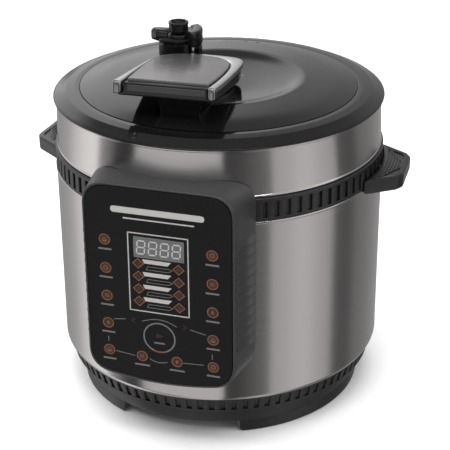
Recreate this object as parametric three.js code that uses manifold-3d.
// Electric pressure cooker, 6 litre class, modelled in millimetres with +Z up.
// Origin: on the pot's axis, on the surface the cooker stands on. The control panel faces -Y
// and the carrying handles lie along X.

import * as THREE from "three";
import { mergeVertices } from "three/addons/utils/BufferGeometryUtils.js";
import Module from "manifold-3d";

const wasm = await Module();
wasm.setup();

// ---------------------------------------------------------------- driving dimensions

const FIT = 0.3; // gap between neighbouring pieces
const RUN = 1.2; // running clearance of pieces that turn or slide past each other
const ROUND = 48; // facets on the large rounds
const SMALL_ROUND = 16; // facets on pins and pipes
const SCREW_FACETS = 12;
const KNOB_FACETS = 24;
const ARC_STEPS = 6; // facets along a short arc
const TOOTH_STEPS = 3;
const OVER = 1; // how far a cutter reaches past the piece that it cuts

// Inner pot
const POT_RADIUS = 110;
const POT_HEIGHT = 173;
const POT_WALL = 1.8;
const POT_RIM_WIDTH = 6.5;
const POT_RIM_HEIGHT = 2;
const POT_CORNER = 16;
const POT_CORNER_CUT = 0.3; // share of the corner that its facet keeps off

// Outer pot, which carries the locking ring
const OUTER_POT_CLEARANCE = 1.3; // between the inner pot's rim and the outer pot's wall
const OUTER_POT_WALL = 1.2;
const OUTER_POT_FLOOR_DROP = 20; // from the inner pot's underside to the outer pot's floor
const OUTER_POT_HEAD = 20; // height of the wide head that the lid's teeth turn in
const OUTER_POT_FLOOR_HOLE = 30;
const CHASSIS_THICKNESS = 1.5;
const CHASSIS_HOLE_MARGIN = 8; // past the hole in the outer pot's floor

// Casing
const CASING_AIR_GAP = 20.2;
const CASING_WALL = 0.8;
const BAND_HEIGHT = 40;
const BAND_INSET = 1.5; // how far the band's foot stands inside the shell
const BAND_TAPER = 1.2; // how much the band draws in towards its top
const COLLAR_HEIGHT = 19.3;
const COLLAR_LIP = 0.6; // how far the collar's lips stand proud of the shell
const COLLAR_TOP_LIP = 3.6;
const COLLAR_BOTTOM_LIP = 2.2;
const COLLAR_GROOVE = 2.4;
const COLLAR_DEPTH = 5;
const HEM_INSET = 1.2; // the shell's lower hem turns in by this
const HEM_HEIGHT = 3;
const FRAME_LIP = 3; // width and height of the funnel's lead-in

// Base
const GROUND_GAP = 10; // underside of the base above the table
const FOOT_LIFT = 0.5; // underside of the moulded feet above the table
const BASE_BAND_HEIGHT = 16.5;
const BASE_WALL = 2.6;
const BASE_FOOT_INSET = 15.8; // from the shell to the base's lower edge
const BASE_STEP_INSET = 12; // from the shell to the base's upper edge
const VENT_RING_HEIGHT = 14.2;
const VENT_RING_TOP_INSET = 2.2;
const VENT_RING_FOOT_INSET = 6.2;
const PAD_COUNT = 4;
const FOOT_GAP_DEG = 49; // open angle between the two feet, at the front and the back
const FOOT_DEPTH = 18;
const FOOT_STEPS = 18; // facets along one foot
const PAD_HEIGHT = 3;
const PAD_DEPTH = 9;
const PAD_SPAN_DEG = 26;
const SERVICE_HOLE = 84;
const COVER_LIP = 8;
const COVER_THICKNESS = 1.6;
const COVER_SCREW_LENGTH = 12;
const COVER_POST_RADIUS = 5;
const COVER_POST_CAP = 2; // plastic above the screw's tip
const COVER_SLOTS = [-3, -2, -1, 1, 2, 3]; // vent slots, counted from the middle
const COVER_SLOT_PITCH = 14;
const COVER_SLOT_HALF = 2;
const COVER_SLOT_REACH = 30;
const SCREW_HEAD = 2;
const SCREW_SHANK = 1.5;

// Power board over the bottom cover
const BOARD_HALF = 48;
const BOARD_DEPTH_HALF = 36;
const BOARD_LIFT = 12.5;
const BOARD_THICKNESS = 1.6;
const STANDOFF_RADIUS = 2.5;
const STANDOFF_INSET = 6;
const RELAY = { x: [-40, -22], y: [-28, -12], height: 12 };
const TRANSFORMER = { x: [-8, 18], y: [-32, -6], height: 14 };
const TERMINALS = { x: [-34, 20], y: [14, 26], height: 8 };
const CAPACITOR = { x: 34, y: -16, radius: 6, height: 13 };

// Pressure switch under the chassis plate
const SWITCH_INSET = 25; // from the base's neck
const SWITCH_LENGTH = 22;
const SWITCH_HALF = 6;
const SWITCH_HEIGHT = 14;
const SWITCH_TURN_DEG = 36;

// Heater stack
const HEATER_SPACE = 25; // from the shell's foot to the inner pot's underside
const HEATER_RADIUS = 92;
const HEATER_THICKNESS = 13;
const HEATER_BORE = 17;
const HEATER_FOOT_CHAMFER = 6;
const HEATER_TOP_SLOPE = 4; // the plate's edge falls away over this width
const HEATER_TOP_DROP = 2;
const ELEMENT_RADIUS = 66;
const ELEMENT_THICKNESS = 4;
const ELEMENT_GAP_DEG = 40;
const ELEMENT_STEPS = 32;
const SENSOR_RADIUS = 14;
const SENSOR_HEIGHT = 6;
const SENSOR_STEM = 4;
const SENSOR_CAP = 2;
const HOLDER_THICKNESS = 2;
const HOLDER_MARGIN = 6; // past the hole in the outer pot's floor
const SPRING_RADIUS = 8;
const SPRING_WIRE = 0.8;
const SPRING_TURNS = 4;
const SPRING_STEPS = 40;
const HEATER_LEG_ANGLES = [90, 210, 330];
const HEATER_LEG_THICKNESS = 4;
const HEATER_LEG_RADIUS = 80;
const FUSE_RADIUS = 1.8;
const FUSE_HALF = 10;
const FUSE_OFFSET = 14; // in front of the hole in the outer pot's floor

// Lid
const LID_DEPTH = 23.3; // from the pot's rim up to the lid's seat on the band
const LID_OVERHANG = 0.2; // of the lid's rim past the shell
const LID_EDGE_HEIGHT = 5.2; // seat to the outer ring's flat
const LID_RING_WIDTH = 23;
const LID_SEAM_DROP = 0.5; // from the cover's rim down to the ring
const LID_FLAT_WIDTH = 6;
const LID_BEVEL_WIDTH = 11;
const LID_BEVEL_RISE = 1;
const LID_SHOULDER_WIDTH = 5;
const LID_SHOULDER_DROP = 1.6;
const LID_DRIP_INSET = 1.4;
const LID_DRIP_HEIGHT = 1.9;
const LID_LIP_HEIGHT = 0.9;
const LID_LIP_INSET = 0.6;
const LID_RIM_FOOT = 6; // width of the rim's underside
const LID_RING_WALL = 3;
const LID_SKIRT = 2;
const LID_STEP_RISE = 7.7; // seat to the cover's rim
const LID_CROWN_RISE = 13.2; // seat to the crest around the dish
const LID_DISH_RISE = 6.6; // seat to the dish floor
const LID_DISH_RADIUS = 73;
const LID_DISH_FLOOR = 36;
const LID_CREST_WIDTH = 8;
const LID_CREST_DROP = 1.4;
const LID_CROWN_BULGE = 0.8;
const LID_WALL = 2.5;
const SEAM_GAP = 0.6;

// Inner lid, bayonet and seal
const GASKET_OVERLAP = 2.1;
const GASKET_WIDTH = 6.4;
const GASKET_HEIGHT = 14;
const GASKET_LIP = 3;
const GASKET_LIP_ROOT = 4;
const INNER_LID_WALL = 1.3;
const INNER_LID_DOME = 4;
const INNER_LID_LAND = 14; // flat width outside the dome
const TOOTH_COUNT = 8;
const TOOTH_LENGTH = 5;
const TOOTH_THICKNESS = 2;
const TOOTH_SPAN_DEG = 19;
const RING_TOOTH_SPAN_DEG = 20;
const RING_THICKNESS = 3;
const RING_LAND = 5;
const CARRIER_WIRE = 1.5;
const CARRIER_HALF = 2;

// Lid handle: a raised plate on a pedestal, sloping down towards the back
const GRIP_OFFSET_X = -6;
const GRIP_FRONT_Y = -110;
const GRIP_FRONT_RISE = 41.7; // seat to the plate's front edge
const GRIP_LENGTH = 124;
const GRIP_TILT_DEG = 7.7;
const GRIP_TURN_DEG = 3.7; // the lid stands turned by this against the body
const GRIP_FRONT_HALF = 43;
const GRIP_BACK_HALF = 35;
const GRIP_TRIM_WIDTH = 9;
const GRIP_DEPTH = 12.5;
const GRIP_PLATE_THICKNESS = 4;
const GRIP_PLATE_SINK = 0.8;
const GRIP_BACK_BOW = 7;
const FASCIA_THICKNESS = 4;
const FASCIA_SETBACK = 2.5;
const PEDESTAL_X = -3;
const PEDESTAL_FRONT_Y = -94;
const PEDESTAL_BACK_Y = 2;
const PEDESTAL_HALF = 17;
const PEDESTAL_FLARE = 9;
const PEDESTAL_FLARE_HEIGHT = 7;
const PEDESTAL_SCREW_FRONT = 28; // from the pedestal's front
const PEDESTAL_SCREW_BACK = 14; // from its back
const PEDESTAL_SCREW_RADIUS = 2;
const PEDESTAL_SCREW_CAP = 3; // plastic above the screw's tip
const GRIP_UNDERCUT = 1.5; // the black underside ends this far above the trims' lower edge

// Steam valve and float valve
const VALVE_X = -48;
const VALVE_Y = 37;
const VALVE_DRUM_RADIUS = 15;
const VALVE_DRUM_SHIFT = 3; // the drum's middle stands off the valve's axis
const VALVE_BODY_HEIGHT = 20;
const VALVE_KNOB_RADIUS = 8.8;
const VALVE_KNOB_HEIGHT = 9;
const VALVE_NECK_INSET = 1.4;
const VALVE_NECK_HEIGHT = 3;
const VALVE_LEVER = 25;
const VALVE_LEVER_HALF = 6;
const VALVE_LEVER_DROP = 5; // from the drum's top to the lever's underside
const VALVE_LEVER_RISE = 2;
const VALVE_GUARD_REACH = 21;
const VALVE_GUARD_Y = [-2, 12];
const VALVE_GUARD_DROP = 14;
const VALVE_GUARD_RISE = 4;
const VENT_PIPE_RADIUS = 3.6;
const VENT_PIPE_BORE = 1.5;
const VENT_PIPE_DROP = 6; // from the drum's top to the pipe's tip
const VENT_PIPE_FLANGE = 3; // width and height of the pipe's nut
const SHIELD_RADIUS = 11;
const SHIELD_HEIGHT = 11;
const SHIELD_WALL = 1;
const SHIELD_SLIT = [8, 3]; // lower and upper end, below the shield's top
const SHIELD_SLIT_ANGLES = [0, 60, 120];
const FLOAT_X = 0;
const FLOAT_Y = 32;
const FLOAT_RADIUS = 2.6;
const FLOAT_TRAVEL = 4;
const FLOAT_HEAD = 3; // how far the head stands out past the pin
const FLOAT_HEAD_HEIGHT = 2;
const FLOAT_SEAL_WIDTH = 5;
const FLOAT_SEAL_HEIGHT = 2;

// Control panel
const PANEL_STANDOFF = 20; // shell surface to the panel's face
const PANEL_HALF = 61.8;
const PANEL_FOOT = 24; // shell foot to the panel's lower edge
const PANEL_HEAD = 15.5; // band foot to the panel's upper edge
const PANEL_CORNER = 20;
const PANEL_SAG = 6; // the lower edge bows down
const PANEL_SAG_SHARE = 0.6; // share of the sag above and below its middle line
const PANEL_SIDE_DEPTH = 0.8; // the side walls reach back to this share of the shell's radius
const PANEL_FACETS = 5;
const PANEL_FLARE = 0.14; // side walls widen by this share of their depth
const PANEL_RIM = 1.8;
const PANEL_LEDGE = 4;
const GLASS_THICKNESS = 2.6;
const DISPLAY_DROP = 41;
const DISPLAY_HALF = 23;
const DISPLAY_HEIGHT = 24;
const DISPLAY_DEPTH = 6;
const CONTROL_MARGIN = 4; // between the control board and its window
const LEAD_RADIUS = 1.8;
const LEAD_STEPS = 16;
const LEAD_DEPTH = 2; // behind the control board
const LEAD_RISES = [20, 8, -20]; // of its first points above the board's foot
const LEAD_END_RISE = 14; // above the shell's foot

// Carrying handles
const CARRY_REACH = 23;
const CARRY_TIP_HALF = 20;
const CARRY_CORNER_HALF = 27;
const CARRY_CORNER_BACK = 4;
const CARRY_ROOT_DEG = 18.5;
const CARRY_ROOT_STEPS = 10;
const CARRY_BACK_DEG = 2; // both handles stand this far behind the axis
const CARRY_SCREW_RADIUS = 1.6;
const CARRY_SCREW_HEAD = 3.4;
const CARRY_SCREW_LENGTH = 14;
const CARRY_TOP_DROP = 12; // below the band's foot
const CARRY_THICKNESS = 12.5;

// Condensate cup at the back
const CUP_HALF = 29;
const CUP_HEIGHT = 46;
const CUP_WALL = 1.8;
const CUP_TOP_DROP = 6; // below the collar
const BRACKET_WALL = 2;
const BRACKET_DEPTH = 0.9; // its plate starts at this share of the shell's radius
const RAIL_REACH = 10; // how far the rails hold the cup
const RAIL_INSET = 6; // from the cup's ends

// Power inlet at the back
const INLET_HALF = 14;
const INLET_HEIGHT = 21;
const INLET_LIFT = 12; // above the shell's foot
const INLET_FLANGE = 4;
const INLET_DEPTH = 16;
const INLET_WALL = 2.5;
const INLET_FLOOR = 3;
const INLET_PIN_HALF = 1.6;
const INLET_PIN_SETBACK = 7;
const INLET_PINS = [[-6, -2], [0, 3], [6, -2]];

// ---------------------------------------------------------------- derived heights and radii

const rimRadius = POT_RADIUS + POT_RIM_WIDTH;
const outerPotIn = rimRadius + OUTER_POT_CLEARANCE;
const outerPotOut = outerPotIn + OUTER_POT_WALL;
const shellIn = outerPotOut + CASING_AIR_GAP;
const shellOut = shellIn + CASING_WALL;

const baseTop = GROUND_GAP + BASE_BAND_HEIGHT;
const shellFoot = baseTop + FIT + VENT_RING_HEIGHT;
const potFoot = shellFoot + HEATER_SPACE;
const potTop = potFoot + POT_HEIGHT;
const seat = potTop + LID_DEPTH;
const bandFoot = seat - BAND_HEIGHT;
const collarTop = bandFoot - FIT;
const collarFoot = collarTop - COLLAR_HEIGHT;
const shellTop = collarFoot - FIT;

const bandFootR = shellOut - BAND_INSET;
const bandTopR = bandFootR - BAND_TAPER;
const lipR = shellOut + COLLAR_LIP;
const panelFace = -(shellOut + PANEL_STANDOFF);

const gasketOut = rimRadius + GASKET_OVERLAP;
const skirtIn = gasketOut + FIT;
const skirtOut = skirtIn + INNER_LID_WALL;
const lidToothR = skirtOut + TOOTH_LENGTH;
const ringToothR = skirtOut + RUN;
const ringGapR = lidToothR + RUN;
const headIn = ringGapR + FIT;
const headOut = headIn + OUTER_POT_WALL;
const ringOut = headOut + RING_LAND;
const gasketFoot = potTop + FIT;
const gasketTop = gasketFoot + GASKET_HEIGHT;
const toothFoot = gasketFoot + GASKET_HEIGHT / 2;
const toothTop = toothFoot + TOOTH_THICKNESS;
const ringFoot = toothTop + RUN;
const ringTop = ringFoot + RING_THICKNESS;
const innerLidUnder = gasketTop + FIT;
const innerLidTop = innerLidUnder + INNER_LID_WALL;

// ---------------------------------------------------------------- materials

function finish(color, roughness, metalness) {
  return new THREE.MeshStandardMaterial({ color, roughness, metalness });
}
const brushedSteel = () => finish(0xb4b0ab, 0.35, 1);
const pressedSteel = () => finish(0xa9abad, 0.4, 1);
const castAluminium = () => finish(0x9a9c9e, 0.55, 1);
const blackPlastic = () => finish(0x2a2a2b, 0.5, 0);
const greyPlastic = () => finish(0x55565a, 0.45, 0.2);
const glossBlack = () => finish(0x0c0c0e, 0.08, 0);
const satinSilver = () => finish(0xc9cacc, 0.3, 0.9);
const silicone = () => finish(0xd8d6cf, 0.7, 0);
const rubber = () => finish(0x1c1c1c, 0.9, 0);
const clearPlastic = () => finish(0xc8ccce, 0.2, 0);
const boardGreen = () => finish(0x1f5a38, 0.6, 0);
const nonStick = () => finish(0x3a3b3d, 0.5, 0.3);

// ---------------------------------------------------------------- solids

// A closed geometry as a solid that faces outwards.
function solid(geometry) {
  const bare = new THREE.BufferGeometry();
  bare.setAttribute("position", geometry.getAttribute("position").clone());
  if (geometry.index) bare.setIndex(geometry.index.clone());
  const merged = mergeVertices(bare, 1e-4);
  const corners = merged.index.array;
  const kept = [];
  for (let i = 0; i < corners.length; i += 3) {
    const [a, b, c] = [corners[i], corners[i + 1], corners[i + 2]];
    if (a !== b && b !== c && c !== a) kept.push(a, b, c);
  }
  const vertProperties = new Float32Array(merged.getAttribute("position").array);
  const build = (triVerts) =>
    new wasm.Manifold(new wasm.Mesh({ numProp: 3, vertProperties, triVerts }));
  const made = build(new Uint32Array(kept));
  if (made.volume() > 0) return made;
  const turned = new Uint32Array(kept.length);
  for (let i = 0; i < kept.length; i += 3) turned.set([kept[i], kept[i + 2], kept[i + 1]], i);
  return build(turned);
}

function joined(solids) {
  return solids.reduce((a, b) => a.add(b));
}

function less(body, cutters) {
  return cutters.reduce((a, b) => a.subtract(b), body);
}

// A ring or disc turned about Z from [radius, height] corners.
function turned(profile, facets = ROUND, x = 0, y = 0) {
  const onAxis = profile[0][0] === 0 && profile[profile.length - 1][0] === 0;
  const corners = onAxis ? profile : [...profile, profile[0]];
  const points = corners.map(([r, z]) => new THREE.Vector2(r, z));
  const geometry = new THREE.LatheGeometry(points, facets);
  return solid(geometry.rotateX(Math.PI / 2).translate(x, y, 0));
}

function ring(inner, outer, foot, top, facets = ROUND, x = 0, y = 0) {
  const profile = [[inner, foot], [outer, foot], [outer, top], [inner, top]];
  return turned(profile, facets, x, y);
}

function rod(radius, foot, top, x = 0, y = 0, facets = SMALL_ROUND) {
  return turned([[0, foot], [radius, foot], [radius, top], [0, top]], facets, x, y);
}

function block(x0, x1, y0, y1, z0, z1) {
  const geometry = new THREE.BoxGeometry(x1 - x0, y1 - y0, z1 - z0);
  return solid(geometry.translate((x0 + x1) / 2, (y0 + y1) / 2, (z0 + z1) / 2));
}

// A flat outline in XY raised from foot to top.
function raised(shape, foot, top, curveSegments = ARC_STEPS) {
  const options = { depth: top - foot, bevelEnabled: false, curveSegments };
  return solid(new THREE.ExtrudeGeometry(shape, options).translate(0, 0, foot));
}

function outline(points) {
  return new THREE.Shape(points.map(([x, y]) => new THREE.Vector2(x, y)));
}

// Part of a ring between two angles in degrees, counted from +X.
function sector(inner, outer, foot, top, from, to, steps = ARC_STEPS) {
  const a = THREE.MathUtils.degToRad(from);
  const b = THREE.MathUtils.degToRad(to);
  const points = [];
  for (let i = 0; i <= steps; i += 1) {
    const t = a + ((b - a) * i) / steps;
    points.push([outer * Math.cos(t), outer * Math.sin(t)]);
  }
  for (let i = steps; i >= 0; i -= 1) {
    const t = a + ((b - a) * i) / steps;
    points.push([inner * Math.cos(t), inner * Math.sin(t)]);
  }
  return raised(outline(points), foot, top);
}

// A round wire along a curve.
function wire(curve, radius, steps) {
  const section = new THREE.Shape();
  section.absarc(0, 0, radius, 0, 2 * Math.PI);
  const options = { steps, curveSegments: 4, bevelEnabled: false, extrudePath: curve };
  return solid(new THREE.ExtrudeGeometry(section, options));
}

// A screw with its head down: its shank stands on the head.
function screw(x, y, headFoot, tip, headRadius, shankRadius) {
  const head = rod(headRadius, headFoot, headFoot + SCREW_HEAD, x, y, SCREW_FACETS);
  const shank = rod(shankRadius, headFoot + SCREW_HEAD - FIT, tip, x, y, SCREW_FACETS);
  return head.add(shank);
}

const cooker = new THREE.Group();
cooker.name = "electric_pressure_cooker";

function piece(name, body, material, parent = cooker) {
  const made = body.getMesh();
  const geometry = new THREE.BufferGeometry();
  geometry.setAttribute("position", new THREE.BufferAttribute(made.vertProperties.slice(), 3));
  geometry.setIndex(new THREE.BufferAttribute(made.triVerts.slice(), 1));
  geometry.computeVertexNormals();
  const mesh = new THREE.Mesh(geometry, material);
  mesh.name = name;
  parent.add(mesh);
  return mesh;
}

// ---------------------------------------------------------------- base

const footR = shellOut - BASE_FOOT_INSET;
const stepR = shellOut - BASE_STEP_INSET;
const footSpan = 180 - FOOT_GAP_DEG;
const padAngles = Array.from({ length: PAD_COUNT }, (_, i) => ((i + 0.5) * 360) / PAD_COUNT);
const padMiddle = footR - FOOT_DEPTH / 2;
const coverR = SERVICE_HOLE + COVER_LIP;
const coverScrewR = SERVICE_HOLE + COVER_LIP / 2;
const coverFoot = GROUND_GAP - FIT - COVER_THICKNESS;
const boardFoot = coverFoot + BOARD_LIFT;
const coverScrewFoot = coverFoot - FIT - SCREW_HEAD;
const coverScrewTip = coverScrewFoot + COVER_SCREW_LENGTH;
const neckR = stepR - BASE_WALL;

function coverScrewPlaces() {
  return padAngles.map((deg) => {
    const t = THREE.MathUtils.degToRad(deg);
    return [coverScrewR * Math.cos(t), coverScrewR * Math.sin(t)];
  });
}

function makeBase() {
  const floorTop = GROUND_GAP + BASE_WALL;
  const neckTop = shellFoot + HEM_HEIGHT;
  const bowl = turned([
    [SERVICE_HOLE, GROUND_GAP],
    [footR, GROUND_GAP],
    [stepR, baseTop],
    [neckR, baseTop],
    [neckR, neckTop],
    [neckR - BASE_WALL, neckTop],
    [neckR - BASE_WALL, baseTop - BASE_WALL],
    [footR - 2 * BASE_WALL, floorTop],
    [SERVICE_HOLE, floorTop],
  ]);
  const feet = [0, 180].map((deg) =>
    sector(footR - FOOT_DEPTH, footR - FIT, FOOT_LIFT, GROUND_GAP + FIT,
      deg - footSpan / 2, deg + footSpan / 2, FOOT_STEPS),
  );
  const padPockets = padAngles.map((deg) =>
    sector(padMiddle - PAD_DEPTH / 2 - FIT, padMiddle + PAD_DEPTH / 2 + FIT, 0, PAD_HEIGHT + FIT,
      deg - PAD_SPAN_DEG / 2 - FIT, deg + PAD_SPAN_DEG / 2 + FIT),
  );
  const posts = coverScrewPlaces().map(([x, y]) =>
    rod(COVER_POST_RADIUS, floorTop - FIT, coverScrewTip + COVER_POST_CAP, x, y, SCREW_FACETS),
  );
  const pilots = coverScrewPlaces().map(([x, y]) =>
    rod(SCREW_SHANK + FIT, GROUND_GAP - OVER, coverScrewTip + FIT, x, y, SCREW_FACETS),
  );
  piece("base_shell", less(joined([bowl, ...feet, ...posts]), [...padPockets, ...pilots]),
    blackPlastic());

  padAngles.forEach((deg, i) => {
    const pad = sector(padMiddle - PAD_DEPTH / 2, padMiddle + PAD_DEPTH / 2, 0, PAD_HEIGHT,
      deg - PAD_SPAN_DEG / 2, deg + PAD_SPAN_DEG / 2);
    piece(`foot_pad_${i + 1}`, pad, rubber());
  });

  const ventFootR = shellOut - VENT_RING_FOOT_INSET;
  const ventTopR = shellOut - VENT_RING_TOP_INSET;
  const ventFoot = baseTop + FIT;
  piece("base_vent_ring", turned([
    [neckR + FIT, ventFoot],
    [ventFootR, ventFoot],
    [ventTopR, shellFoot - FIT],
    [neckR + FIT, shellFoot - FIT],
  ]), blackPlastic());

  const cover = rod(coverR, coverFoot, coverFoot + COVER_THICKNESS, 0, 0, ROUND);
  const slots = COVER_SLOTS.map((i) =>
    block(i * COVER_SLOT_PITCH - COVER_SLOT_HALF, i * COVER_SLOT_PITCH + COVER_SLOT_HALF,
      -COVER_SLOT_REACH, COVER_SLOT_REACH, coverFoot - OVER, GROUND_GAP),
  );
  const holes = coverScrewPlaces().map(([x, y]) =>
    rod(SCREW_SHANK + FIT, coverFoot - OVER, GROUND_GAP, x, y, SCREW_FACETS),
  );
  const standoffs = [-1, 1].flatMap((i) => [-1, 1].map((j) =>
    rod(STANDOFF_RADIUS, coverFoot + FIT, boardFoot - FIT, i * (BOARD_HALF - STANDOFF_INSET),
      j * (BOARD_DEPTH_HALF - STANDOFF_INSET), SCREW_FACETS),
  ));
  piece("bottom_cover", joined([less(cover, [...slots, ...holes]), ...standoffs]), pressedSteel());
  coverScrewPlaces().forEach(([x, y], i) => {
    piece(`bottom_cover_screw_${i + 1}`,
      screw(x, y, coverScrewFoot, coverScrewTip, 2 * SCREW_SHANK, SCREW_SHANK), pressedSteel());
  });
}

// ---------------------------------------------------------------- casing

const inletFoot = shellFoot + INLET_LIFT;
const inletTop = inletFoot + INLET_HEIGHT;
const panelBottom = shellFoot + PANEL_FOOT;
const panelTop = bandFoot + PANEL_HEAD;
const windowFoot = panelBottom + PANEL_CORNER;
const windowTop = shellTop - PANEL_CORNER / 2;
const windowHalf = PANEL_HALF / 2;
const carryTop = bandFoot - CARRY_TOP_DROP;
const carryFoot = carryTop - CARRY_THICKNESS;
const carryScrewZ = (collarFoot + carryTop) / 2;
const carryTurns = [CARRY_BACK_DEG, 180 - CARRY_BACK_DEG];

// A round cutter that lies along X.
function crossRod(radius, x0, x1, z) {
  const bar = new THREE.CylinderGeometry(radius, radius, x1 - x0, SCREW_FACETS);
  return solid(bar.rotateZ(Math.PI / 2).translate((x0 + x1) / 2, 0, z));
}

function makeCasing() {
  const hemR = shellOut - HEM_INSET;
  const shell = turned([
    [hemR - CASING_WALL, shellFoot],
    [hemR, shellFoot],
    [shellOut, shellFoot + HEM_HEIGHT],
    [shellOut, shellTop],
    [shellIn, shellTop],
    [shellIn, shellFoot + HEM_HEIGHT],
  ]);
  const panelWindow = block(-windowHalf, windowHalf, -shellOut - OVER, 0, windowFoot, windowTop);
  const inletWindow = block(-INLET_HALF - FIT, INLET_HALF + FIT, 0, shellOut + OVER,
    inletFoot - FIT, inletTop + FIT);
  piece("lower_shell", less(shell, [panelWindow, inletWindow]), brushedSteel());

  const grooveR = lipR - COLLAR_GROOVE;
  const collar = turned([
    [lipR - COLLAR_DEPTH, collarFoot],
    [lipR, collarFoot],
    [lipR, collarFoot + COLLAR_BOTTOM_LIP],
    [grooveR, collarFoot + COLLAR_BOTTOM_LIP],
    [grooveR, collarTop - COLLAR_TOP_LIP],
    [lipR, collarTop - COLLAR_TOP_LIP],
    [lipR, collarTop],
    [lipR - COLLAR_DEPTH, collarTop],
  ]);
  const bolts = carryTurns.map((deg) =>
    crossRod(CARRY_SCREW_RADIUS + FIT, 0, lipR + OVER, carryScrewZ).rotate([0, 0, deg]),
  );
  piece("collar_ring", less(collar, bolts), blackPlastic());

  piece("upper_band", turned([
    [bandFootR - CASING_WALL, bandFoot],
    [bandFootR, bandFoot],
    [bandTopR, seat],
    [bandTopR - CASING_WALL, seat],
  ]), brushedSteel());

  const frameFoot = ringTop + FIT;
  const frameOut = bandTopR - CASING_WALL - FIT;
  piece("top_frame", turned([
    [headIn, frameFoot],
    [frameOut, frameFoot],
    [frameOut, seat - FIT],
    [frameOut - FRAME_LIP, seat - FIT],
    [headIn, frameFoot + FRAME_LIP],
  ]), blackPlastic());
}

// One carrying handle, drawn on +X and turned about Z.
function makeCarryingHandle(turnDeg, name) {
  const inner = lipR + FIT;
  const root = THREE.MathUtils.degToRad(CARRY_ROOT_DEG);
  const tip = shellOut + CARRY_REACH;
  const points = [
    [inner * Math.cos(root), -inner * Math.sin(root)],
    [tip - CARRY_CORNER_BACK, -CARRY_CORNER_HALF],
    [tip, -CARRY_TIP_HALF],
    [tip, CARRY_TIP_HALF],
    [tip - CARRY_CORNER_BACK, CARRY_CORNER_HALF],
    [inner * Math.cos(root), inner * Math.sin(root)],
  ];
  for (let i = 1; i < CARRY_ROOT_STEPS; i += 1) {
    const t = root - (2 * root * i) / CARRY_ROOT_STEPS;
    points.push([inner * Math.cos(t), inner * Math.sin(t)]);
  }
  const grip = raised(outline(points), carryFoot, carryTop);
  const headInner = lipR - COLLAR_DEPTH - 2 * FIT - SCREW_HEAD;
  const tipOut = headInner + CARRY_SCREW_LENGTH;
  const pilot = crossRod(CARRY_SCREW_RADIUS + FIT, 0, tipOut + FIT, carryScrewZ);
  const turn = THREE.MathUtils.degToRad(turnDeg);
  piece(name, grip.subtract(pilot), blackPlastic()).rotation.z = turn;

  const shank = crossRod(CARRY_SCREW_RADIUS, headInner + SCREW_HEAD / 2, tipOut, carryScrewZ);
  const head = crossRod(CARRY_SCREW_HEAD, headInner, headInner + SCREW_HEAD, carryScrewZ);
  piece(`${name}_screw`, shank.add(head), pressedSteel()).rotation.z = turn;
}

// ---------------------------------------------------------------- pots and locking ring

const outerPotFloor = potFoot - OUTER_POT_FLOOR_DROP;
const headFoot = ringFoot - FIT - OUTER_POT_HEAD;
const chassisTop = outerPotFloor - FIT;

function makePots() {
  piece("inner_pot", turned([
    [0, potFoot],
    [POT_RADIUS - POT_CORNER, potFoot],
    [POT_RADIUS - POT_CORNER * POT_CORNER_CUT, potFoot + POT_CORNER * POT_CORNER_CUT],
    [POT_RADIUS, potFoot + POT_CORNER],
    [POT_RADIUS, potTop - POT_RIM_HEIGHT],
    [rimRadius, potTop - POT_RIM_HEIGHT],
    [rimRadius, potTop],
    [POT_RADIUS - POT_WALL, potTop],
    [POT_RADIUS - POT_WALL, potFoot + POT_CORNER],
    [POT_RADIUS - POT_WALL - POT_CORNER * POT_CORNER_CUT, potFoot + POT_WALL + POT_CORNER * POT_CORNER_CUT],
    [POT_RADIUS - POT_CORNER, potFoot + POT_WALL],
    [0, potFoot + POT_WALL],
  ]), nonStick());

  piece("outer_pot", turned([
    [OUTER_POT_FLOOR_HOLE, outerPotFloor],
    [outerPotOut, outerPotFloor],
    [outerPotOut, headFoot],
    [headOut, headFoot + headOut - outerPotOut],
    [headOut, ringFoot - FIT],
    [headIn, ringFoot - FIT],
    [headIn, headFoot + headOut - outerPotOut + OUTER_POT_WALL],
    [outerPotIn, headFoot + OUTER_POT_WALL],
    [outerPotIn, outerPotFloor + OUTER_POT_WALL],
    [OUTER_POT_FLOOR_HOLE, outerPotFloor + OUTER_POT_WALL],
  ]), pressedSteel());

  const pitch = 360 / TOOTH_COUNT;
  const land = ring(ringGapR, ringOut, ringFoot, ringTop);
  const teeth = Array.from({ length: TOOTH_COUNT }, (_, i) => {
    const middle = (i + 0.5) * pitch;
    return sector(ringToothR, ringGapR + OVER, ringFoot, ringTop,
      middle - RING_TOOTH_SPAN_DEG / 2, middle + RING_TOOTH_SPAN_DEG / 2, TOOTH_STEPS);
  });
  piece("locking_ring", joined([land, ...teeth]), pressedSteel());

  piece("chassis_plate",
    ring(OUTER_POT_FLOOR_HOLE + CHASSIS_HOLE_MARGIN, neckR - BASE_WALL - FIT,
      chassisTop - CHASSIS_THICKNESS, chassisTop),
    pressedSteel());
}

// ---------------------------------------------------------------- heater, sensor and electrics

const heaterTop = potFoot - FIT;
const heaterFoot = heaterTop - HEATER_THICKNESS;
const sensorTop = potFoot - FIT;
const sensorFoot = sensorTop - SENSOR_HEIGHT;
const holderTop = outerPotFloor + OUTER_POT_WALL + FIT + HOLDER_THICKNESS;

class Helix extends THREE.Curve {
  constructor(radius, foot, top, turns) {
    super();
    Object.assign(this, { radius, foot, top, turns });
  }
  getPoint(t, target = new THREE.Vector3()) {
    const a = 2 * Math.PI * this.turns * t;
    const z = THREE.MathUtils.lerp(this.foot, this.top, t);
    return target.set(this.radius * Math.cos(a), this.radius * Math.sin(a), z);
  }
}

class OpenRing extends THREE.Curve {
  constructor(radius, z, gapDeg) {
    super();
    Object.assign(this, { radius, z, gap: THREE.MathUtils.degToRad(gapDeg) });
  }
  getPoint(t, target = new THREE.Vector3()) {
    const a = this.gap / 2 + (2 * Math.PI - this.gap) * t;
    return target.set(this.radius * Math.cos(a), this.radius * Math.sin(a), this.z);
  }
}

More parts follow.
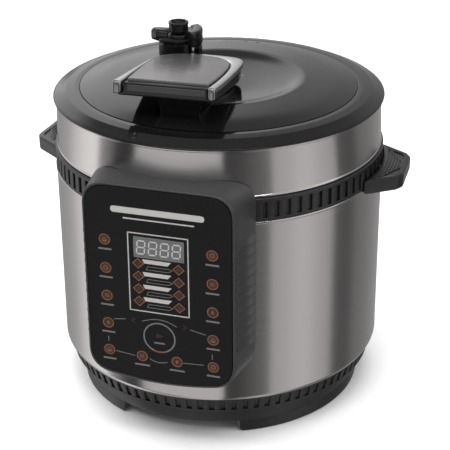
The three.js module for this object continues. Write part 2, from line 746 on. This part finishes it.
function makeHeater() {
  const legs = HEATER_LEG_ANGLES.map((deg) => {
    const t = THREE.MathUtils.degToRad(deg);
    return rod(HEATER_LEG_THICKNESS, outerPotFloor + OUTER_POT_WALL + FIT, heaterFoot + FIT,
      HEATER_LEG_RADIUS * Math.cos(t), HEATER_LEG_RADIUS * Math.sin(t), SCREW_FACETS);
  });
  const plate = turned([
    [HEATER_BORE, heaterFoot],
    [HEATER_RADIUS - HEATER_FOOT_CHAMFER, heaterFoot],
    [HEATER_RADIUS, heaterFoot + HEATER_FOOT_CHAMFER],
    [HEATER_RADIUS, heaterTop - HEATER_TOP_DROP],
    [HEATER_RADIUS - HEATER_TOP_SLOPE, heaterTop],
    [HEATER_BORE, heaterTop],
  ]);
  piece("heating_plate", joined([plate, ...legs]), castAluminium());
  const elementZ = heaterFoot - FIT - ELEMENT_THICKNESS / 2;
  piece("heating_element",
    wire(new OpenRing(ELEMENT_RADIUS, elementZ, ELEMENT_GAP_DEG), ELEMENT_THICKNESS / 2,
      ELEMENT_STEPS), pressedSteel());

  const cap = rod(SENSOR_RADIUS, sensorTop - SENSOR_CAP, sensorTop, 0, 0, KNOB_FACETS);
  const barrel = rod(SPRING_RADIUS - 2 * SPRING_WIRE - FIT, sensorFoot, sensorTop - SENSOR_CAP / 2,
    0, 0, KNOB_FACETS);
  const stem = rod(SENSOR_STEM, holderTop + OVER, sensorFoot + OVER, 0, 0, KNOB_FACETS);
  piece("temperature_sensor", joined([cap, barrel, stem]), castAluminium());

  const springFoot = holderTop + SPRING_WIRE + FIT;
  const springTop = sensorTop - SENSOR_CAP - SPRING_WIRE - FIT;
  piece("sensor_spring",
    wire(new Helix(SPRING_RADIUS, springFoot, springTop, SPRING_TURNS), SPRING_WIRE,
      SPRING_STEPS),
    pressedSteel());

  const holderFoot = outerPotFloor + OUTER_POT_WALL + FIT;
  piece("sensor_holder",
    ring(SENSOR_STEM + RUN, OUTER_POT_FLOOR_HOLE + HOLDER_MARGIN, holderFoot, holderTop,
      KNOB_FACETS), pressedSteel());

  const fuse = rod(FUSE_RADIUS, -FUSE_HALF, FUSE_HALF, 0, 0, SCREW_FACETS).rotate([0, 90, 0]);
  piece("thermal_fuse",
    fuse.translate([0, -OUTER_POT_FLOOR_HOLE - FUSE_OFFSET, heaterFoot - FIT - FUSE_RADIUS]),
    satinSilver());
}

function makeElectrics() {
  const boardTop = boardFoot + BOARD_THICKNESS;
  const sunk = boardTop - FIT;
  const board = block(-BOARD_HALF, BOARD_HALF, -BOARD_DEPTH_HALF, BOARD_DEPTH_HALF,
    boardFoot, boardTop);
  const blocks = [RELAY, TRANSFORMER, TERMINALS].map(({ x, y, height }) =>
    block(...x, ...y, sunk, boardTop + height),
  );
  const capacitor = rod(CAPACITOR.radius, sunk, boardTop + CAPACITOR.height, CAPACITOR.x,
    CAPACITOR.y);
  piece("power_board", joined([board, capacitor, ...blocks]), boardGreen());

  const switchTop = chassisTop - CHASSIS_THICKNESS - FIT;
  const switchR = neckR - SWITCH_INSET;
  const switchBody = block(-switchR, -switchR + SWITCH_LENGTH, -SWITCH_HALF, SWITCH_HALF,
    switchTop - SWITCH_HEIGHT, switchTop);
  const switchTurn = THREE.MathUtils.degToRad(SWITCH_TURN_DEG);
  piece("pressure_switch", switchBody, blackPlastic()).rotation.z = switchTurn;

  const glassBack = panelFace + GLASS_THICKNESS + FIT;
  const displayBack = glassBack + FIT + DISPLAY_DEPTH;
  const displayTop = panelTop - DISPLAY_DROP;
  piece("display_module",
    block(-DISPLAY_HALF, DISPLAY_HALF, glassBack + FIT, displayBack, displayTop - DISPLAY_HEIGHT,
      displayTop),
    glossBlack());
  const controlFace = displayBack + FIT;
  const controlFoot = windowFoot + CONTROL_MARGIN;
  piece("control_board",
    block(-windowHalf + CONTROL_MARGIN, windowHalf - CONTROL_MARGIN, controlFace,
      controlFace + BOARD_THICKNESS, controlFoot, displayTop + CONTROL_MARGIN),
    boardGreen());

  const ribbonTopY = controlFace + BOARD_THICKNESS + FIT;
  const wallGap = -(outerPotOut + shellIn) / 2;
  const path = new THREE.CatmullRomCurve3([
    new THREE.Vector3(0, ribbonTopY + LEAD_DEPTH, controlFoot + LEAD_RISES[0]),
    new THREE.Vector3(0, wallGap, controlFoot + LEAD_RISES[1]),
    new THREE.Vector3(0, wallGap, controlFoot + LEAD_RISES[2]),
    new THREE.Vector3(0, wallGap + LEAD_DEPTH, shellFoot + LEAD_END_RISE),
  ]);
  piece("control_lead", wire(path, LEAD_RADIUS, LEAD_STEPS), rubber());
}

function makeInlet() {
  const back = shellOut + INLET_FLANGE;
  const flange = block(-INLET_HALF - INLET_FLANGE, INLET_HALF + INLET_FLANGE,
    shellOut + FIT, back, inletFoot - INLET_FLANGE, inletTop + INLET_FLANGE);
  const barrel = block(-INLET_HALF, INLET_HALF, back - INLET_DEPTH, back - OVER, inletFoot, inletTop);
  const socket = block(-INLET_HALF + INLET_WALL, INLET_HALF - INLET_WALL,
    back - INLET_DEPTH + INLET_FLOOR, back + OVER, inletFoot + INLET_WALL, inletTop - INLET_WALL);
  const middle = (inletFoot + inletTop) / 2;
  const pins = INLET_PINS.map(([x, z]) =>
    block(x - INLET_PIN_HALF / 2, x + INLET_PIN_HALF / 2, back - INLET_DEPTH + INLET_FLOOR / 2,
      back - INLET_PIN_SETBACK, middle + z - INLET_PIN_HALF, middle + z + INLET_PIN_HALF),
  );
  const body = joined([flange.add(barrel).subtract(socket), ...pins]);
  piece("power_inlet", body, blackPlastic());
}

// ---------------------------------------------------------------- control panel

// The panel's outline seen from the front, shrunk all round by inset.
function panelOutline(inset) {
  const half = PANEL_HALF - inset;
  const low = panelBottom + inset;
  const high = panelTop - inset;
  const corner = PANEL_CORNER - inset / 2;
  const bow = PANEL_SAG * PANEL_SAG_SHARE;
  const shape = new THREE.Shape();
  shape.moveTo(-half, low + corner + PANEL_SAG);
  shape.quadraticCurveTo(-half, low + PANEL_SAG, -half + corner, low + bow);
  shape.quadraticCurveTo(0, low - bow, half - corner, low + bow);
  shape.quadraticCurveTo(half, low + PANEL_SAG, half, low + corner + PANEL_SAG);
  shape.lineTo(half, high - corner);
  shape.quadraticCurveTo(half, high, half - corner, high);
  shape.lineTo(-half + corner, high);
  shape.quadraticCurveTo(-half, high, -half, high - corner);
  return shape;
}

// The outline from the panel's face y0 back to y1.
function panelBlock(inset, y0, y1, flare) {
  const options = { depth: y1 - y0, bevelEnabled: false, curveSegments: PANEL_FACETS };
  const geometry = new THREE.ExtrudeGeometry(panelOutline(inset), options);
  geometry.rotateX(Math.PI / 2).translate(0, y1, 0);
  const place = geometry.getAttribute("position");
  for (let i = 0; i < place.count; i += 1) {
    const deep = place.getY(i) - y0;
    place.setX(i, place.getX(i) * (1 + (flare * deep) / PANEL_HALF));
  }
  return solid(geometry);
}

// Everything inside the casing's outer surface, with a fitting gap.
function casingMask() {
  return turned([
    [0, 0],
    [shellOut + FIT, 0],
    [shellOut + FIT, collarFoot - FIT],
    [lipR + FIT, collarFoot - FIT],
    [lipR + FIT, bandFoot],
    [bandFootR + FIT, bandFoot],
    [bandTopR + FIT, seat],
    [bandTopR + FIT, seat + LID_DEPTH],
    [0, seat + LID_DEPTH],
  ]);
}

function makePanel() {
  const pocketFloor = panelFace + GLASS_THICKNESS + FIT;
  const back = -shellOut * PANEL_SIDE_DEPTH;
  const pod = panelBlock(0, panelFace, back, PANEL_FLARE);
  const pocket = panelBlock(PANEL_RIM, panelFace - OVER, pocketFloor, 0);
  const cavity = panelBlock(PANEL_RIM + PANEL_LEDGE, pocketFloor - OVER, back + OVER, 0);
  piece("panel_housing", less(pod, [pocket, cavity, casingMask()]), greyPlastic());
  const glass = panelBlock(PANEL_RIM + FIT, panelFace, panelFace + GLASS_THICKNESS, 0);
  piece("touch_panel", glass, glossBlack());
}

// ---------------------------------------------------------------- condensate cup

function makeCondensateCup() {
  const cupTop = collarFoot - CUP_TOP_DROP;
  const cupFoot = cupTop - CUP_HEIGHT;
  const cupBack = shellOut + PANEL_STANDOFF;
  const bracketFace = shellOut + FIT;
  const cupInner = bracketFace + BRACKET_WALL + FIT;
  const outer = block(-CUP_HALF, CUP_HALF, cupInner, cupBack, cupFoot, cupTop);
  const hollow = block(-CUP_HALF + CUP_WALL, CUP_HALF - CUP_WALL, cupInner + CUP_WALL,
    cupBack - CUP_WALL, cupFoot + CUP_WALL, cupTop + OVER);
  piece("condensate_cup", outer.subtract(hollow), clearPlastic());

  const railIn = CUP_HALF + FIT;
  const plate = block(-railIn - BRACKET_WALL, railIn + BRACKET_WALL, shellOut * BRACKET_DEPTH,
    bracketFace + BRACKET_WALL, cupFoot, cupTop);
  const rails = [-1, 1].map((side) => {
    const near = side * railIn;
    const far = side * (railIn + BRACKET_WALL);
    return block(Math.min(near, far), Math.max(near, far), bracketFace,
      cupInner + RAIL_REACH, cupFoot + RAIL_INSET, cupTop - RAIL_INSET);
  });
  piece("cup_bracket", joined([plate, ...rails]).subtract(casingMask()), blackPlastic());
}

// ---------------------------------------------------------------- lid

const lidRimR = shellOut + LID_OVERHANG;
const lidFoot = seat + FIT;
const seamR = lidRimR - LID_RING_WIDTH;
const coverRimR = seamR - SEAM_GAP;
const screwPlaces = [
  PEDESTAL_FRONT_Y + PEDESTAL_SCREW_FRONT,
  PEDESTAL_BACK_Y - PEDESTAL_SCREW_BACK,
];
const lidGroup = new THREE.Group();
cooker.add(lidGroup);

// The lid's upper surface from the axis out to the cover's rim, raised by lift.
function crownProfile(lift) {
  const middle = (LID_CROWN_RISE + LID_STEP_RISE) / 2 + LID_CROWN_BULGE;
  return [
    [0, seat + LID_DISH_RISE + lift],
    [LID_DISH_FLOOR, seat + LID_DISH_RISE + lift],
    [LID_DISH_RADIUS - LID_CREST_WIDTH, seat + LID_CROWN_RISE - LID_CREST_DROP + lift],
    [LID_DISH_RADIUS, seat + LID_CROWN_RISE + lift],
    [(LID_DISH_RADIUS + coverRimR) / 2, seat + middle + lift],
    [coverRimR, seat + LID_STEP_RISE + lift],
  ];
}

// Cutters for the valve pipe, the float and the handle's screws, from foot to top.
function lidHoles(foot, top) {
  return [
    rod(VENT_PIPE_RADIUS + FIT, foot, top, VALVE_X, VALVE_Y),
    rod(FLOAT_RADIUS + RUN, foot, top, FLOAT_X, FLOAT_Y),
    ...screwPlaces.map((y) =>
      rod(PEDESTAL_SCREW_RADIUS + FIT, foot, top, PEDESTAL_X, y, SCREW_FACETS),
    ),
  ];
}

function makeLidShells() {
  const under = crownProfile(-LID_WALL).reverse();
  const coverBody = turned([...crownProfile(0), ...under]);
  const holes = lidHoles(seat, seat + LID_CROWN_RISE + OVER);
  piece("lid_cover", less(coverBody, holes), glossBlack(), lidGroup);

  const flat = seat + LID_EDGE_HEIGHT;
  piece("lid_outer_ring", turned([
    [seamR, seat + LID_STEP_RISE - LID_SEAM_DROP],
    [seamR + LID_FLAT_WIDTH, seat + LID_STEP_RISE - LID_SEAM_DROP],
    [lidRimR - LID_BEVEL_WIDTH, flat + LID_BEVEL_RISE],
    [lidRimR - LID_SHOULDER_WIDTH, flat - LID_SHOULDER_DROP],
    [lidRimR - LID_DRIP_INSET, lidFoot + LID_DRIP_HEIGHT],
    [lidRimR, lidFoot + LID_LIP_HEIGHT],
    [lidRimR - LID_LIP_INSET, lidFoot],
    [lidRimR - LID_RIM_FOOT, lidFoot],
    [seamR + LID_SKIRT, seat + LID_STEP_RISE - LID_RING_WALL],
    [seamR + LID_SKIRT, innerLidTop + FIT],
    [seamR, innerLidTop + FIT],
  ]), glossBlack(), lidGroup);
}

function makeInnerLid() {
  const dome = innerLidTop + INNER_LID_DOME;
  const underDome = dome - INNER_LID_WALL;
  const body = turned([
    [0, dome],
    [LID_DISH_RADIUS, dome],
    [skirtOut - INNER_LID_LAND, innerLidTop],
    [skirtOut, innerLidTop],
    [skirtOut, toothFoot],
    [skirtIn, toothFoot],
    [skirtIn, innerLidUnder],
    [skirtOut - INNER_LID_LAND, innerLidUnder],
    [LID_DISH_RADIUS, underDome],
    [0, underDome],
  ]);
  const pitch = 360 / TOOTH_COUNT;
  const teeth = Array.from({ length: TOOTH_COUNT }, (_, i) =>
    sector(skirtIn + INNER_LID_WALL / 2, lidToothR, toothFoot, toothTop,
      i * pitch - TOOTH_SPAN_DEG / 2, i * pitch + TOOTH_SPAN_DEG / 2, TOOTH_STEPS),
  );
  const holes = lidHoles(innerLidUnder - OVER, seat);
  piece("inner_lid", less(joined([body, ...teeth]), holes), pressedSteel(), lidGroup);

  piece("sealing_gasket", turned([
    [gasketOut - GASKET_WIDTH, gasketFoot],
    [gasketOut, gasketFoot],
    [gasketOut, gasketTop],
    [gasketOut - GASKET_WIDTH, gasketTop],
    [gasketOut - GASKET_WIDTH, gasketTop - GASKET_LIP],
    [gasketOut - GASKET_WIDTH / 2, gasketTop - GASKET_LIP_ROOT],
    [gasketOut - GASKET_WIDTH / 2, gasketFoot + GASKET_LIP_ROOT],
    [gasketOut - GASKET_WIDTH, gasketFoot + GASKET_LIP],
  ]), silicone(), lidGroup);
  const carrierOut = gasketOut - GASKET_WIDTH / 2 - FIT;
  const carrierMiddle = (gasketFoot + gasketTop) / 2;
  piece("gasket_carrier",
    ring(carrierOut - CARRIER_WIRE, carrierOut, carrierMiddle - CARRIER_HALF,
      carrierMiddle + CARRIER_HALF),
    pressedSteel(), lidGroup);
}

// ---------------------------------------------------------------- valves

const domeTop = innerLidTop + INNER_LID_DOME;
const domeUnder = domeTop - INNER_LID_WALL;

// Height of the lid's upper surface at a distance from the axis, inside the crest.
function dishHeight(r) {
  const slopeEnd = LID_DISH_RADIUS - LID_CREST_WIDTH;
  const share = THREE.MathUtils.clamp((r - LID_DISH_FLOOR) / (slopeEnd - LID_DISH_FLOOR), 0, 1);
  return seat + THREE.MathUtils.lerp(LID_DISH_RISE, LID_CROWN_RISE - LID_CREST_DROP, share);
}

function makeSteamValve() {
  const foot = seat + LID_CROWN_RISE + FIT;
  const bodyTop = foot + VALVE_BODY_HEIGHT;
  const pipeTop = bodyTop - VENT_PIPE_DROP;
  const nutFoot = domeUnder - VENT_PIPE_FLANGE;
  piece("vent_pipe", turned([
    [VENT_PIPE_BORE, nutFoot],
    [VENT_PIPE_RADIUS + VENT_PIPE_FLANGE, nutFoot],
    [VENT_PIPE_RADIUS + VENT_PIPE_FLANGE, domeUnder - FIT],
    [VENT_PIPE_RADIUS, domeUnder - FIT],
    [VENT_PIPE_RADIUS, pipeTop],
    [VENT_PIPE_BORE, pipeTop],
  ], SMALL_ROUND, VALVE_X, VALVE_Y), pressedSteel(), lidGroup);

  const shieldTop = domeUnder - FIT;
  const shieldFoot = shieldTop - SHIELD_HEIGHT;
  const shieldIn = SHIELD_RADIUS - SHIELD_WALL;
  const shield = turned([
    [0, shieldFoot],
    [SHIELD_RADIUS, shieldFoot],
    [SHIELD_RADIUS, shieldTop],
    [shieldIn, shieldTop],
    [shieldIn, shieldFoot + SHIELD_WALL],
    [0, shieldFoot + SHIELD_WALL],
  ], SMALL_ROUND, VALVE_X, VALVE_Y);
  const [slitLow, slitHigh] = SHIELD_SLIT.map((drop) => shieldTop - drop);
  const slits = SHIELD_SLIT_ANGLES.map((deg) =>
    block(-SHIELD_RADIUS - OVER, SHIELD_RADIUS + OVER, -SHIELD_WALL, SHIELD_WALL, slitLow, slitHigh)
      .rotate([0, 0, deg])
      .translate([VALVE_X, VALVE_Y, 0]),
  );
  piece("anti_block_shield", less(shield, slits), pressedSteel(), lidGroup);

  const drum = rod(VALVE_DRUM_RADIUS, foot, bodyTop, -VALVE_DRUM_SHIFT, 0, KNOB_FACETS);
  const lever = block(-VALVE_LEVER, 0, -VALVE_LEVER_HALF, VALVE_LEVER_HALF,
    bodyTop - VALVE_LEVER_DROP, bodyTop + VALVE_LEVER_RISE);
  const guard = block(VALVE_KNOB_RADIUS + RUN, VALVE_GUARD_REACH, ...VALVE_GUARD_Y,
    bodyTop - VALVE_GUARD_DROP, bodyTop + VALVE_GUARD_RISE);
  const neckTop = bodyTop + VALVE_NECK_HEIGHT;
  const neck = rod(VALVE_KNOB_RADIUS - VALVE_NECK_INSET, bodyTop - OVER, neckTop);
  const sweep = rod(VALVE_KNOB_RADIUS + RUN, bodyTop, neckTop + VALVE_KNOB_HEIGHT, 0, 0, KNOB_FACETS);
  const bore = rod(VENT_PIPE_RADIUS + FIT, foot - OVER, pipeTop + FIT);
  const solidValve = less(joined([drum, lever, guard]), [sweep]).add(neck).subtract(bore);
  piece("steam_valve", solidValve.translate([VALVE_X, VALVE_Y, 0]), blackPlastic(), lidGroup);
  const knobFoot = neckTop + FIT;
  piece("steam_valve_cap",
    rod(VALVE_KNOB_RADIUS, knobFoot, knobFoot + VALVE_KNOB_HEIGHT, VALVE_X, VALVE_Y, KNOB_FACETS),
    blackPlastic(), lidGroup);
}

function makeFloat() {
  const headTop = domeUnder - FIT - VENT_PIPE_FLANGE - FLOAT_TRAVEL;
  const headFoot = headTop - FLOAT_HEAD_HEIGHT;
  const pinTop = dishHeight(Math.hypot(FLOAT_X, FLOAT_Y)) - OVER;
  const head = rod(FLOAT_RADIUS + FLOAT_HEAD, headFoot, headTop, FLOAT_X, FLOAT_Y);
  const pin = rod(FLOAT_RADIUS, headFoot + OVER, pinTop, FLOAT_X, FLOAT_Y);
  piece("float_pin", head.add(pin), satinSilver(), lidGroup);
  piece("float_seal",
    ring(FLOAT_RADIUS + RUN, FLOAT_RADIUS + FLOAT_SEAL_WIDTH, domeUnder - FIT - FLOAT_SEAL_HEIGHT,
      domeUnder - FIT, SMALL_ROUND, FLOAT_X, FLOAT_Y),
    silicone(), lidGroup);
}

// ---------------------------------------------------------------- lid handle

// Half width of the handle's outline at a distance behind its front edge.
function gripHalf(along) {
  return THREE.MathUtils.lerp(GRIP_FRONT_HALF, GRIP_BACK_HALF, along / GRIP_LENGTH);
}

function makeLidHandle() {
  const tilted = new THREE.Group();
  tilted.position.set(GRIP_OFFSET_X, GRIP_FRONT_Y, seat + GRIP_FRONT_RISE);
  tilted.rotation.x = -THREE.MathUtils.degToRad(GRIP_TILT_DEG);
  tilted.rotation.z = THREE.MathUtils.degToRad(GRIP_TURN_DEG);
  lidGroup.add(tilted);

  const plateEdge = (along) => gripHalf(along) - GRIP_TRIM_WIDTH - FIT;
  const plateTop = -GRIP_PLATE_SINK;
  const plateFoot = plateTop - GRIP_PLATE_THICKNESS;
  const plate = new THREE.Shape();
  plate.moveTo(-plateEdge(0), 0);
  plate.lineTo(plateEdge(0), 0);
  plate.lineTo(plateEdge(GRIP_LENGTH), GRIP_LENGTH);
  plate.quadraticCurveTo(0, GRIP_LENGTH + GRIP_BACK_BOW, -plateEdge(GRIP_LENGTH), GRIP_LENGTH);
  piece("lid_handle_plate", raised(plate, plateFoot, plateTop), greyPlastic(), tilted);

  const under = new THREE.Shape();
  const underFront = FASCIA_SETBACK + FASCIA_THICKNESS + FIT;
  under.moveTo(-plateEdge(underFront), underFront);
  under.lineTo(plateEdge(underFront), underFront);
  under.lineTo(plateEdge(GRIP_LENGTH), GRIP_LENGTH);
  under.lineTo(-plateEdge(GRIP_LENGTH), GRIP_LENGTH);
  const bodyFoot = -GRIP_DEPTH + GRIP_UNDERCUT;
  piece("lid_handle_body", raised(under, bodyFoot, plateFoot - FIT), blackPlastic(), tilted);

  const fasciaHalf = plateEdge(FASCIA_SETBACK + FASCIA_THICKNESS) - FIT;
  piece("lid_handle_fascia",
    block(-fasciaHalf, fasciaHalf, FASCIA_SETBACK, FASCIA_SETBACK + FASCIA_THICKNESS,
      bodyFoot, plateFoot - FIT),
    blackPlastic(), tilted);

  [[-1, "left"], [1, "right"]].forEach(([side, name]) => {
    const bar = outline([
      [side * gripHalf(0), 0],
      [side * gripHalf(GRIP_LENGTH), GRIP_LENGTH],
      [side * (gripHalf(GRIP_LENGTH) - GRIP_TRIM_WIDTH), GRIP_LENGTH],
      [side * (gripHalf(0) - GRIP_TRIM_WIDTH), 0],
    ]);
    piece(`lid_handle_trim_${name}`, raised(bar, -GRIP_DEPTH, 0), satinSilver(), tilted);
  });

  // The pedestal is drawn from the side: its top follows the plate's slope.
  const slope = Math.tan(THREE.MathUtils.degToRad(GRIP_TILT_DEG));
  const underside = (y) =>
    seat + GRIP_FRONT_RISE - (GRIP_DEPTH + FIT) / Math.cos(THREE.MathUtils.degToRad(GRIP_TILT_DEG))
    - slope * (y - GRIP_FRONT_Y);
  const side = (inset, drop) => outline([
    [PEDESTAL_FRONT_Y - inset, underside(PEDESTAL_FRONT_Y - inset) - drop],
    [PEDESTAL_FRONT_Y - inset, underside(PEDESTAL_FRONT_Y - inset)],
    [PEDESTAL_BACK_Y, underside(PEDESTAL_BACK_Y)],
    [PEDESTAL_BACK_Y, underside(PEDESTAL_BACK_Y) - drop],
  ]);
  const across = (shape, half) => {
    const depth = 2 * half;
    const geometry = new THREE.ExtrudeGeometry(shape, { depth, bevelEnabled: false });
    geometry.rotateZ(Math.PI / 2).rotateY(Math.PI / 2);
    return solid(geometry.translate(PEDESTAL_X - half, 0, 0));
  };
  const neck = across(side(0, GRIP_FRONT_RISE), PEDESTAL_HALF);
  const flange = across(side(PEDESTAL_FLARE / 2, PEDESTAL_FLARE_HEIGHT / 2),
    PEDESTAL_HALF + PEDESTAL_FLARE);
  const below = turned([...crownProfile(FIT), [coverRimR, potFoot], [0, potFoot]]);
  const pilots = screwPlaces.map((y) =>
    rod(PEDESTAL_SCREW_RADIUS + FIT, seat, underside(y) - PEDESTAL_SCREW_CAP, PEDESTAL_X, y,
      SCREW_FACETS),
  );
  piece("lid_handle_pedestal", less(neck.add(flange), [below, ...pilots]), blackPlastic(), lidGroup);
  screwPlaces.forEach((y, i) => {
    const tip = underside(y) - PEDESTAL_SCREW_CAP - FIT;
    piece(`lid_handle_screw_${i + 1}`,
      screw(PEDESTAL_X, y, domeUnder - FIT - SCREW_HEAD, tip, 2 * PEDESTAL_SCREW_RADIUS,
        PEDESTAL_SCREW_RADIUS),
      pressedSteel(), lidGroup);
  });
}

makeBase();
makeCasing();
makeCarryingHandle(carryTurns[0], "side_handle_right");
makeCarryingHandle(carryTurns[1], "side_handle_left");
makePots();
makeHeater();
makeElectrics();
makeInlet();
makePanel();
makeCondensateCup();
makeLidShells();
makeInnerLid();
makeSteamValve();
makeFloat();
makeLidHandle();

export default cooker;
